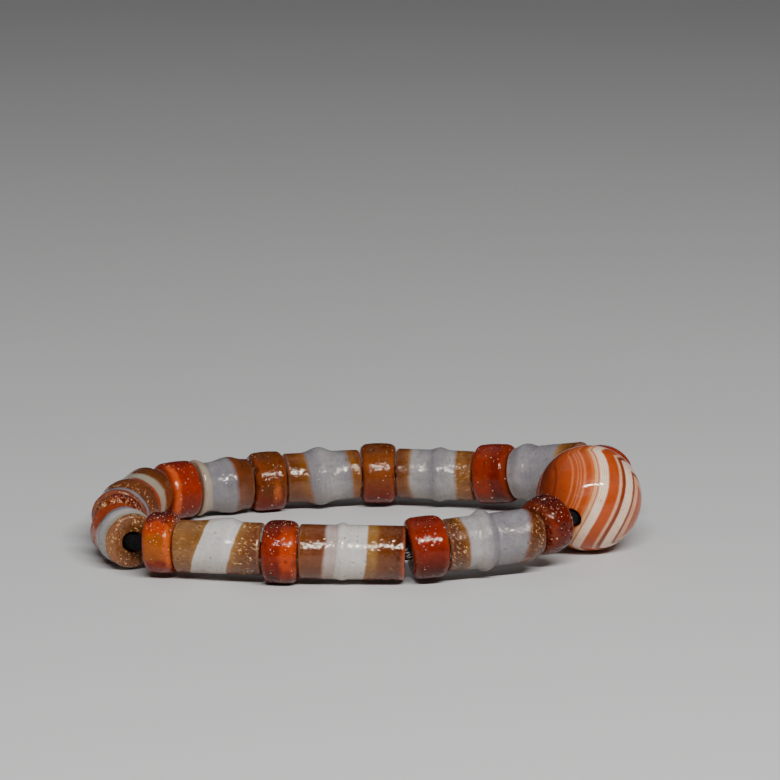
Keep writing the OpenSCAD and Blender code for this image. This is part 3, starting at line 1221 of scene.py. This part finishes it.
@dataclass(frozen=True)
class BandedFinish(StoneFinish):
    """Polished banded agate: flat bands that cross the bead, some of them slanted.

    bands are places along the bead and colours, in rising order. slant and lean move a
    band along the bead for each millimetre up and out, and slant_last is the slant at the
    far end, if it differs. waver is how far a band's edge strays, haze the strength of the
    cloudy places. crackled are stretches with hair cracks and glinting faces, as start,
    end and strength. The golden flecks they hold are partly the stone's own and partly
    painted highlights on the ridges of the relief; the field after crackled says how far.
    scratched is the share of fine scratches, grain the strength of the sugary grain. brush
    turns the fine polishing marks, in degrees from the bead's length, and brushed is how
    deep they are. facets is how far the surface's small flat faces are tilted.
    """

    slot: ClassVar[Slot] = Slot.BANDED
    gloss: ClassVar[Gloss] = Gloss(glow=0.35, reach=(1.4, 0.7, 0.45), shine=0.75)
    haze_tone: ClassVar[Colour] = (0.40, 0.33, 0.32)
    # painted shade colours that darken the underside, for pale and for dark bands
    painted_shade_pale: ClassVar[Colour] = (0.82, 0.74, 0.64)
    painted_shade_dark: ClassVar[Colour] = (0.80, 0.40, 0.20)
    scratch_tone: ClassVar[Colour] = (0.16, 0.10, 0.08)
    hole_tone: ClassVar[Colour] = (0.10, 0.06, 0.04)
    pit_tone: ClassVar[Colour] = (0.14, 0.07, 0.04)
    rim_tone: ClassVar[Colour] = (0.30, 0.12, 0.06)
    crack_tone: ClassVar[Colour] = (0.40, 0.16, 0.04)
    fleck_and_glint_tone: ClassVar[Colour] = (0.90, 0.56, 0.22)

    bands: Bands
    slant: float = 0.0
    slant_last: float | None = None
    lean: float = 0.0
    waver: float = 0.4
    haze: float = 0.2
    crackled: tuple[tuple[float, float, float], ...] = ()
    flecks_and_glints: float = 0.0
    scratched: float = 0.5
    grain: float = 0.12
    depth: float = 0.2
    brush: float = 20.0
    brushed: float = 0.18
    facets: float = 1.0

    def _place(self, w: Wiring, where: Field, length: float) -> Field:
        """Place of a point among the bands.

        Args:
            w: The material's wiring.
            where: The bead's own coordinates.
            length: The bead's length.

        Returns:
            Its place along the bead, moved by the slant, the lean and the waver.
        """
        along, up, out = w.axes(where)
        last = self.slant if self.slant_last is None else self.slant_last
        slope = w.levels(along, 0.0, length, -self.slant, -last)
        return along + up * slope - out * self.lean + w.swing(where, 3.2, 5.0, 0.6) * (self.waver * 2)

    def _cracks(self, w: Wiring, where: Field, place: Field, effects: StoneEffects) -> tuple[Feed, Feed]:
        """Masks of the crackled stretches.

        Args:
            w: The material's wiring.
            where: The bead's own coordinates.
            place: The place among the bands.
            effects: The shared effects.

        Returns:
            The mask of the hair cracks, and that of the stretches that hold them.
        """
        crack, held = 0.0, 0.0
        for start, end, strength in self.crackled:
            stretch = w.inside(place, start, end, 0.3) * strength
            crack = effects.crackle.on(w, where, Size=0.42, Share=strength) * stretch | crack
            held = stretch | held
        return crack, held

    def _stone(self, w: Wiring, where: Field, place: Field, length: float) -> tuple[Feed, Field]:
        """Colour of the stone with painted shade on its underside, and how far it is one of the dark bands.

        The bands are varied by thin layers, clouds, grain and haze, and painted shade darkens them towards
        the underside, redder on the dark bands.

        Args:
            w: The material's wiring.
            where: The bead's own coordinates.
            place: The place among the bands.
            length: The bead's length.

        Returns:
            The colour, and the mask of the dark bands.
        """
        colour = w.ramp(place, self.bands, -1.0, length + 1.0)
        dark = w.levels(w.axes(colour)[2], 0.05, 0.20, 1.0, 0.0)
        layer = w.swing(w.result("ShaderNodeCombineXYZ", place * 2.6), 1.0, 5.0, 0.65) * 0.48
        cloud = w.swing(where, 1.7, 5.0, 0.62) * (dark * 0.65 + 0.15)
        sugar = w.swing(where, 0.28, 3.0, 0.65) * dark * (self.grain * 3)
        colour = w.scaled(colour, (layer + 1.0) * (cloud + 1.0) * (sugar + 1.0))
        haze = w.levels(w.noise(where, 2.6, 1.0), 0.5, 0.72) * (1.0 - dark) * self.haze
        # painted shade: darker towards the underside
        underside_shade = w.levels(w.axes(where)[1], -3.8, -0.5, 0.8, 0.0)
        shade = w.mix(dark, self.painted_shade_pale, self.painted_shade_dark)
        return w.mix(underside_shade, w.mix(haze, colour, self.haze_tone), shade, "MULTIPLY"), dark

    def surface(self, w: Wiring, where: Field, bead: Bead, effects: StoneEffects) -> Surface:
        """Lays scratches, holes, wear, cracks and golden flecks, partly painted highlights, over the bands.

        Args:
            w: The material's wiring.
            where: The bead's own coordinates.
            bead: The bead.
            effects: The shared effects.

        Returns:
            The colour, the roughness and the height.
        """
        rim, pit = w.read("rim"), w.read("pit")
        length = bead.shape.length
        place = self._place(w, where, length)
        colour, dark = self._stone(w, where, place, length)
        crack, held = self._cracks(w, where, place, effects)
        turned = w.mapped(where, turn=(0.0, 0.0, math.radians(self.brush)))
        drawn = w.mapped(turned, scale=(0.5, 1.0, 1.0))
        lines = effects.scratches.on(w, where, Share=self.scratched)
        holes = effects.pinholes.on(w, where, Size=0.55, Share=0.22)
        worn = effects.worn.on(w, where, Rim=rim, Share=0.25)
        # golden flecks on the ridges of the relief in crackled dark bands: partly the stone's own, partly
        # painted highlights
        glint_crest = w.levels(w.noise(drawn, 0.30, 2.0, 0.6), 0.58, 0.68) * (held * dark)
        spread = w.levels(w.noise(where, 1.5, 2.0), 0.42, 0.56, 0.1, 1.0)
        colour = w.tinted(
            colour,
            (lines * 0.14, self.scratch_tone),
            (holes * 0.5, self.hole_tone),
            (pit * 0.35, self.pit_tone),
            (worn * 0.35, self.rim_tone),
            (crack * dark * 0.2, self.crack_tone),
            (glint_crest * spread * self.flecks_and_glints, self.fleck_and_glint_tone),
        )
        marks = lines | holes
        rough = w.levels(w.noise(where, 0.5, 4.0, 0.6), 0.3, 0.7, 0.04, 0.10) - held * 0.03
        facets = effects.facets.on(w, drawn, Size=0.20) * (held * 1.6 + self.facets)
        waves = w.noise(where, 1.0, 2.0) * 0.32
        brushed = w.noise(drawn, 0.26, 2.0, 0.6) * self.brushed
        relief = waves + brushed + facets - marks * 0.3
        return colour, rough + marks * 0.2, relief


@dataclass(frozen=True)
class EyeFinish(StoneFinish):
    """The round bead's bands: rings about an eye that bend sharply at a fold.

    The value of a point on a ball of radius 1 is how far it lies towards the eye, plus
    bow_share of its squared distance towards bow, plus fold_share of how far it lies
    beyond the fold. outer_bands are values and colours up to split, eye_bands beyond it,
    and all of them lie between lowest and highest.
    """

    slot: ClassVar[Slot] = Slot.EYE
    gloss: ClassVar[Gloss] = Gloss(glow=0.3, reach=(1.4, 0.5, 0.25), shine=0.4)
    line_tone: ClassVar[Colour] = (0.74, 0.44, 0.30)
    scratch_tone: ClassVar[Colour] = (0.25, 0.10, 0.05)
    hole_tone: ClassVar[Colour] = (0.14, 0.05, 0.02)

    eye: Way
    fold: Way
    fold_at: float
    fold_share: float
    bow: Way
    bow_share: float
    outer_bands: Bands
    eye_bands: Bands
    split: float = 0.16
    lowest: float = -1.4
    highest: float = 1.7
    depth: float = 0.08

    def _value(self, w: Wiring, where: Field, bead: Bead) -> Field:
        """The value that the bands follow.

        Args:
            w: The material's wiring.
            where: The bead's own coordinates.
            bead: The bead, whose seat turns the eye and the fold into its coordinates.

        Returns:
            The value, a little wavy.
        """
        centred = w.vector("ADD", where, (-bead.shape.length / 2, 0.0, 0.0))
        ball = w.scaled(centred, 1 / ROUND_RADIUS)
        near, over, bowed = (
            w.vector("DOT_PRODUCT", ball, tuple(bead.seat.basis @ np.array(way)))
            for way in (self.eye, self.fold, self.bow)
        )
        beyond = (over - self.fold_at) | 0.0
        value = near + beyond * self.fold_share + bowed * bowed * self.bow_share
        return value + w.swing(where, 2.8, 3.0, 0.5) * 0.02

    def _stone(self, w: Wiring, where: Field, value: Field) -> Field:
        """Colour of the stone: the bands, fine lines in the pale ones, and clouds.

        Args:
            w: The material's wiring.
            where: The bead's own coordinates.
            value: The value that the bands follow.

        Returns:
            The colour.
        """
        ragged = value + w.swing(where, 0.35, 3.0, 0.6) * 0.012
        outer = w.ramp(ragged, self.outer_bands, self.lowest, self.highest)
        inner = w.ramp(ragged, self.eye_bands, self.lowest, self.highest)
        colour = w.mix(w.math("GREATER_THAN", ragged, self.split), outer, inner)
        lines = w.levels(w.math("SINE", value * 165.0 + w.noise(where, 1.2, 2.0) * 2.5), 0.1, 0.9)
        patches = w.levels(w.noise(where, 2.4, 2.0), 0.35, 0.6, 0.3, 0.9)
        pale = w.levels(w.axes(colour)[2], 0.12, 0.25)
        colour = w.mix(lines * patches * pale, colour, self.line_tone, "MULTIPLY")
        return w.scaled(colour, w.levels(w.noise(where, 1.5, 5.0, 0.6), 0.25, 0.75, 0.86, 1.14))

    def surface(self, w: Wiring, where: Field, bead: Bead, effects: StoneEffects) -> Surface:
        """Lays scratches and pinholes over the rings.

        Args:
            w: The material's wiring.
            where: The bead's own coordinates.
            bead: The bead.
            effects: The shared effects.

        Returns:
            The colour, the roughness and the height.
        """
        lines = effects.scratches.on(w, where, Share=0.55)
        holes = effects.pinholes.on(w, where, Size=0.5, Share=0.25)
        colour = w.tinted(
            self._stone(w, where, self._value(w, where, bead)),
            (lines * 0.12, self.scratch_tone),
            (holes * 0.4, self.hole_tone),
        )
        rough = w.levels(w.noise(where, 0.9, 4.0, 0.6), 0.3, 0.7, 0.03, 0.10)
        relief = w.noise(where, 0.6, 4.0, 0.6) * 0.10 - lines * 0.1 - holes * 0.4
        return colour, rough + lines * 0.15, relief


@dataclass(frozen=True)
class CordFinish:
    """Matt black yarn, with grey thread on the outer columns of stitches in some stretches.

    The first grey stretch has its middle at first_grey along the cord, and the others
    follow at every grey_every. A stretch goes as far as a cosine wave with its tops there
    is above grey_above. depth is the height of the bumps in millimetres.
    """

    slot: ClassVar[Slot] = Slot.CORD

    black: Colour = (0.003, 0.003, 0.004)
    worn: Colour = (0.012, 0.012, 0.013)
    thread: Colour = (0.36, 0.35, 0.34)
    first_grey: float = 35.0
    grey_every: float = 90.0
    grey_above: float = 0.3
    depth: float = 0.06
    shine: float = 0.12

    def material(self, name: str) -> bpy.types.Material:
        """Builds the cord's material.

        Args:
            name: The material's name.

        Returns:
            The material.
        """
        material, w, shader = new_material(name)
        far, column, height = w.axes(w.read("thread", "Vector"))
        turns = w.math("COSINE", (far - self.first_grey) * (math.tau / self.grey_every))
        grey = w.inside(column, 3.0, 5.0, 0.01) * w.math("GREATER_THAN", turns, self.grey_above)
        fibre = w.noise(w.result("ShaderNodeCombineXYZ", far * 9.0, column * 16.0), 2.0, 3.0, 0.6)
        colour = w.tinted(
            self.black,
            (w.levels(fibre, 0.35, 0.75), self.worn),
            (grey * w.levels(height, 0.55, 0.8) * 0.9, self.thread),
        )
        rough = w.levels(fibre, 0.2, 0.8, 0.6, 0.85)
        w.dress(shader, colour, rough, fibre * 0.35 + height * 0.4, self.depth, strength=0.8)
        shader.inputs["Specular IOR Level"].default_value = self.shine
        return material


WINE = (0.070, 0.004, 0.002)
CLARET = (0.12, 0.006, 0.001)
CRIMSON = (0.15, 0.008, 0.002)
GARNET = (0.20, 0.012, 0.002)
RED = (0.25, 0.016, 0.003)
FLAME = (0.40, 0.040, 0.005)
AMBER = (0.32, 0.074, 0.007)
TAN = (0.215, 0.086, 0.020)
CARAMEL = (0.155, 0.038, 0.004)
TEA = (0.17, 0.036, 0.006)
BROWN = (0.105, 0.021, 0.001)
RUSSET = (0.090, 0.013, 0.001)
MAUVE = (0.145, 0.034, 0.008)
OCHRE = (0.27, 0.120, 0.022)
GOLD = (0.22, 0.080, 0.010)
ORANGE = (0.34, 0.040, 0.004)
WHITE = (0.56, 0.53, 0.50)
PEARL = (0.38, 0.355, 0.350)
LAVENDER = (0.235, 0.218, 0.236)
SLATE = (0.200, 0.188, 0.204)
HAZY = (0.330, 0.308, 0.304)
CREAM = (0.40, 0.34, 0.25)
MILKY = (0.42, 0.33, 0.30)
RIPE, RUST, SEED = (0.40, 0.060, 0.010), (0.22, 0.034, 0.010), (0.20, 0.028, 0.006)
CHALK, BISCUIT, BLUSH = (0.84, 0.64, 0.49), (0.64, 0.31, 0.145), (0.70, 0.38, 0.23)
THREAD = (0.55, 0.165, 0.060)

FINISHES: dict[str, StoneFinish] = {
    "rondelle_1": CarnelianFinish(
        painted_light_layers=((-4.2, CRIMSON), (-2.8, RED), (1.0, FLAME), (2.6, FLAME), (3.2, CRIMSON), (4.2, WINE)),
        patches=(
            GlowPatch((0.5, 3.2), (-2.2, 0.9), AMBER, 0.2),
            GlowPatch((3.5, 4.2), (-2.6, 2.0), (0.52, 0.095, 0.010), 0.35),
        ),
        specks=0.7,
    ),
    "rondelle_2": CarnelianFinish(
        painted_light_layers=((-4.2, WINE), (-2.4, CRIMSON), (-0.4, GARNET), (1.6, RED), (2.4, CRIMSON), (4.0, WINE)),
        patches=(GlowPatch((2.7, 4.0), (-2.0, 2.0), FLAME, 0.7),),
        specks=0.55,
    ),
    "rondelle_3": CarnelianFinish(
        painted_light_layers=((-3.6, WINE), (-1.5, CRIMSON), (1.5, RED), (3.6, CRIMSON)),
        cloud=2.6, specks=0.22, ripple=0.35,
    ),
    "rondelle_4": CarnelianFinish(
        painted_light_layers=((-4.0, WINE), (-1.5, CLARET), (1.5, CLARET), (3.4, WINE)),
        cloud=3.2, specks=0.5, ripple=0.7, grit=1.2,
    ),
    "rondelle_5": CarnelianFinish(
        painted_light_layers=((-3.0, WINE), (0.0, CRIMSON), (3.0, RED)), lean=0.23, specks=0.2,
    ),
    "rondelle_6": CarnelianFinish(
        painted_light_layers=((-3.6, WINE), (-1.0, CRIMSON), (2.0, (0.16, 0.010, 0.002)), (3.8, CRIMSON)),
        patches=(GlowPatch((2.6, 5.2), (-2.6, 2.4), (0.24, 0.020, 0.003), 0.8),),
        lean=0.23, cloud=2.6, specks=0.2,
    ),
    "rondelle_7": CarnelianFinish(
        painted_light_layers=((-3.6, CRIMSON), (-1.2, TEA), (1.6, (0.22, 0.055, 0.009)), (3.6, BROWN)),
        lean=0.23, cloud=2.0, specks=0.2, ripple=0.7,
    ),
    "rondelle_8": CarnelianFinish(
        painted_light_layers=((-3.6, CRIMSON), (-1.2, BROWN), (1.6, TEA), (3.6, BROWN)),
        patches=(GlowPatch((1.5, 1.9), (-1.8, -1.4), (0.42, 0.085, 0.012), 0.6),),
        lean=0.23, cloud=2.2, specks=0.2,
    ),
    "rondelle_9": CarnelianFinish(
        painted_light_layers=((-4.0, CRIMSON), (-2.0, GARNET), (0.5, (0.28, 0.020, 0.003)), (3.0, RED), (3.8, CRIMSON)),
        patches=(GlowPatch((3.9, 4.5), (-3.0, 3.0), (0.50, 0.075, 0.012), 0.35),),
        lean=0.23, cloud=3.0, specks=0.2,
    ),
    "rondelle_10": CarnelianFinish(
        painted_light_layers=((-3.0, WINE), (2.0, (0.10, 0.006, 0.002)), (3.5, CRIMSON)),
        lean=0.0, specks=1.5, ripple=1.0, grit=2.6, glints=0.8,
    ),
    "bamboo_1": BandedFinish(
        bands=(
            (0.0, TAN), (2.6, TAN), (3.1, OCHRE), (3.3, WHITE), (7.9, WHITE), (8.15, OCHRE),
            (8.6, TAN), (10.0, CARAMEL), (12.0, RUSSET),
        ),
        slant=0.37, slant_last=0.28, waver=0.3, grain=0.2,
        crackled=((8.5, 12.0, 1.0), (-1.0, 2.6, 0.35)), flecks_and_glints=0.9,
    ),
    "bamboo_2": BandedFinish(
        bands=(
            (0.0, CARAMEL), (1.6, MAUVE), (2.9, MAUVE), (3.4, MILKY), (4.6, MILKY), (4.9, WHITE),
            (8.6, WHITE), (8.9, OCHRE), (9.9, OCHRE), (10.6, CARAMEL), (13.3, RUSSET), (14.1, ORANGE),
        ),
        slant=0.08, haze=0.3, depth=0.17, crackled=((9.4, 13.5, 0.45),), flecks_and_glints=0.15,
    ),
    "bamboo_3": BandedFinish(
        bands=(
            (0.0, RUSSET), (1.2, BROWN), (2.1, GOLD), (2.45, PEARL), (4.4, PEARL), (5.6, LAVENDER),
            (10.3, LAVENDER), (10.9, MAUVE), (11.3, BROWN), (12.7, RUSSET),
        ),
        slant=-0.15, slant_last=0.30, scratched=0.9, depth=0.24, brush=55.0, brushed=0.24, facets=0.8,
        crackled=((-1.0, 2.3, 1.0), (11.0, 13.0, 1.0), (2.4, 10.6, 0.15)), flecks_and_glints=1.0,
    ),
    "bamboo_4": BandedFinish(
        bands=((0.0, BROWN), (2.3, GOLD), (2.8, OCHRE), (3.4, LAVENDER), (10.2, LAVENDER), (10.8, MILKY)),
        haze=0.4,
    ),
    "bamboo_5": BandedFinish(
        bands=(
            (0.0, CARAMEL), (1.2, GOLD), (2.0, GOLD), (2.6, HAZY), (5.5, SLATE), (8.5, HAZY),
            (9.2, GOLD), (9.8, CARAMEL), (11.5, BROWN),
        ),
        slant=0.06, crackled=((0.2, 2.4, 0.7),), flecks_and_glints=0.4,
    ),
    "bamboo_6": BandedFinish(
        bands=(
            (0.0, CARAMEL), (1.1, GOLD), (1.8, SLATE), (4.0, HAZY), (7.2, SLATE), (7.8, GOLD),
            (9.0, CARAMEL), (11.5, BROWN),
        ),
        slant=0.15,
    ),
    "bamboo_7": BandedFinish(
        bands=((0.0, BROWN), (2.4, MAUVE), (3.1, SLATE), (6.4, SLATE), (6.75, CREAM), (8.5, CREAM)),
        slant=0.1, haze=0.3,
    ),
    "bamboo_8": BandedFinish(
        bands=(
            (0.0, BROWN), (3.4, CARAMEL), (4.2, CREAM), (6.3, CREAM), (6.6, ORANGE), (7.7, ORANGE),
            (8.2, MAUVE), (11.4, MAUVE), (11.7, LAVENDER), (12.35, LAVENDER), (12.5, CRIMSON),
        ),
        waver=0.3, depth=0.12,
        crackled=((12.5, 14.0, 1.0), (8.4, 10.2, 0.3), (10.2, 11.2, 1.0)), flecks_and_glints=1.0,
    ),
    "bamboo_9": BandedFinish(
        bands=(
            (0.0, ORANGE), (2.4, ORANGE), (2.9, LAVENDER), (5.0, PEARL), (6.2, CREAM),
            (6.7, (0.20, 0.066, 0.014)), (7.5, (0.13, 0.036, 0.006)),
        ),
        lean=0.2, waver=0.25, grain=0.4, crackled=((6.6, 8.0, 1.0),), flecks_and_glints=1.0,
    ),
    "round_bead": EyeFinish(
        eye=(-0.990, -0.023, 0.139),
        fold=(-0.013, 0.980, -0.201),
        fold_at=-0.37,
        fold_share=0.782,
        bow=(-0.104, -0.562, -0.820),
        bow_share=-0.324,
        outer_bands=(
            (-1.3, RUST), (-1.0, RIPE), (-0.850, RIPE), (-0.835, BLUSH), (-0.778, BLUSH), (-0.766, RUST),
            (-0.738, RUST), (-0.722, CHALK), (-0.590, CHALK), (-0.572, RUST), (-0.515, RUST),
            (-0.495, BLUSH), (-0.458, BLUSH), (-0.437, RIPE), (-0.245, RIPE), (-0.228, CHALK),
            (-0.072, CHALK), (-0.056, (0.50, 0.20, 0.080)), (-0.038, (0.42, 0.12, 0.035)),
            (-0.020, BLUSH), (0.024, BISCUIT), (0.040, (0.50, 0.13, 0.032)),
            (0.075, (0.48, 0.11, 0.024)), (0.110, RIPE),
        ),
        eye_bands=(
            (0.190, RIPE), (0.212, THREAD), (0.230, THREAD), (0.252, RIPE), (0.270, RIPE),
            (0.289, THREAD), (0.308, RIPE), (0.325, RIPE), (0.340, THREAD), (0.360, RIPE),
            (0.412, RIPE), (0.436, THREAD), (0.460, RIPE), (0.690, (0.33, 0.050, 0.012)),
            (0.712, SEED), (0.730, SEED), (0.755, (0.29, 0.044, 0.010)), (0.850, SEED),
            (1.050, (0.13, 0.018, 0.005)), (1.1, RIPE), (1.3, RUST),
        ),
    ),
}

CARVINGS = {
    "rondelle_1": Carving(101, oval=0.010, waves=0.045, pits=60, chips=8),
    "rondelle_2": Carving(102, oval=0.010, waves=0.045, pits=60, chips=8),
    "rondelle_3": Carving(103, oval=0.008, waves=0.030, pits=45, chips=6),
    "rondelle_4": Carving(104, oval=0.016, waves=0.085, pits=110, pit_size=0.3, chips=10),
    "rondelle_5": Carving(105),
    "rondelle_6": Carving(106, waves=0.04),
    "rondelle_7": Carving(107, waves=0.05),
    "rondelle_8": Carving(108, waves=0.05),
    "rondelle_9": Carving(109),
    "rondelle_10": Carving(110, waves=0.05, chips=3),
    "bamboo_1": Carving(121, ridge_bias=1.0, waves=0.04, chips=3),
    "bamboo_2": Carving(122, ridge_bias=0.5, waves=0.03, chips=3),
    "bamboo_3": Carving(123, grooves=((6.4, 0.12, 0.25),), chips=6),
    "bamboo_4": Carving(124, waves=0.05),
    "bamboo_5": Carving(125, waves=0.05),
    "bamboo_6": Carving(126, waves=0.05),
    "bamboo_7": Carving(127, waves=0.05),
    "bamboo_8": Carving(128, waves=0.03),
    "bamboo_9": Carving(129, waves=0.04),
}


@dataclass(frozen=True)
class Lamp:
    """A soft rectangular lamp that faces the bracelet.

    turn is the way it stands, in degrees to the right of the camera's side, and rise is
    how high it stands, in degrees too.
    """

    far: float
    turn: float
    rise: float
    size: tuple[float, float]
    power: float

    def hang(self, name: str) -> None:
        """Adds the lamp to the scene.

        Args:
            name: The lamp's name.
        """
        data = bpy.data.lights.new(name, "AREA")
        data.shape = "RECTANGLE"
        data.size, data.size_y = self.size[0] * MM, self.size[1] * MM
        data.energy = self.power
        across, rise = plan_way(self.turn), math.radians(self.rise)
        side = np.append(across, 0.0)
        back = np.array([across[1] * math.cos(rise), -across[0] * math.cos(rise), math.sin(rise)])
        turned = np.eye(4)
        turned[:3, :3] = np.stack([side, np.cross(back, side), back], axis=1)
        turned[:3, 3] = back * self.far * MM
        add_object(name, data).matrix_world = Matrix(turned.tolist())


@dataclass(frozen=True)
class Studio:
    """The camera, the soft lights and the pale floor. Places are millimetres."""

    camera_at: tuple[float, float, float] = (3.23, -516.78, 139.86)
    camera_tilt: float = 77.15
    lens: float = 175.4
    strip: Lamp = Lamp(far=620.0, turn=13.0, rise=43.0, size=(480.0, 20.0), power=5.2)
    overhead: Lamp = Lamp(far=980.0, turn=-140.0, rise=67.0, size=(900.0, 900.0), power=1.0)
    room_colour: Colour = (0.80, 0.82, 0.85)
    room_light: float = 0.045
    floor_half: float = 3000.0
    floor_rough: float = 0.6
    floor_tones: tuple[Colour, Colour] = ((0.63, 0.625, 0.62), (0.67, 0.665, 0.66))

    def camera(self) -> None:
        """Sets the camera at the photograph's height, distance and angle."""
        data = bpy.data.cameras.new("camera")
        data.lens = self.lens
        data.sensor_width = 36.0
        data.clip_start = 0.01
        eye = add_object("camera", data)
        eye.location = [v * MM for v in self.camera_at]
        eye.rotation_euler = (math.radians(self.camera_tilt), 0.0, 0.0)
        bpy.context.scene.camera = eye

    def lights(self) -> None:
        """Hangs the lamps and sets the pale surroundings."""
        self.strip.hang("front_strip")
        self.overhead.hang("soft_above")
        world = bpy.data.worlds.new("studio")
        world.use_nodes = True
        backdrop = world.node_tree.nodes["Background"]
        backdrop.inputs["Color"].default_value = (*self.room_colour, 1.0)
        backdrop.inputs["Strength"].default_value = self.room_light
        bpy.context.scene.world = world

    def floor(self) -> None:
        """Lays the floor, with a faint unevenness of tone."""
        half = self.floor_half * MM
        mesh = bpy.data.meshes.new("floor")
        corners = [(-half, -half, 0), (half, -half, 0), (half, half, 0), (-half, half, 0)]
        mesh.from_pydata(corners, [], [(0, 1, 2, 3)])
        material, w, shader = new_material("pale_floor")
        where = w.put("ShaderNodeTexCoord").outputs["Object"]
        tone = w.result("ShaderNodeTexNoise", Vector=where, Scale=9.0, Detail=3.0)
        w.feed(shader.inputs["Base Color"], w.mix(tone, *self.floor_tones))
        shader.inputs["Roughness"].default_value = self.floor_rough
        mesh.materials.append(material)
        floor = add_object("floor", mesh)


def hand_over(piece: bpy.types.Object, material: bpy.types.Material, node: str, slot: Slot) -> None:
    """Dresses a piece, hides the solid that it replaces, hangs it on the body and logs its slot.

    Args:
        piece: The piece.
        material: Its material.
        node: The solid that it replaces.
        slot: The record's slot.
    """
    piece.data.materials.append(material)
    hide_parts(node)
    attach(piece, BODY)
    log.info("%s: %d faces, slot %s", piece.name, len(piece.data.polygons), slot.value)


def main() -> None:
    """Builds the studio, then every bead in its place, then the cord."""
    studio = Studio()
    studio.camera()
    studio.lights()
    studio.floor()
    row = Row(ROW)
    effects = StoneEffects()
    for i, shape in enumerate(ROW):
        if shape.is_round:
            bead = EyeBead(shape, row.seat(i))
        else:
            first, last = row.skews(i - 1)[1], row.skews(i)[0]
            bead = TurnedBead(shape, row.seat(i), CARVINGS[shape.name], first, last)
        finish = FINISHES[shape.name]
        material = finish.material(f"{shape.name}_finish", bead, effects)
        hand_over(bead.build(), material, shape.name, finish.slot)
    cord = CordFinish()
    hand_over(KnittedCord(row).build(), cord.material("cord_finish"), "cord", cord.slot)


if __name__ == "__main__":
    logging.basicConfig(level=logging.INFO, format="%(name)s: %(message)s")
    main()
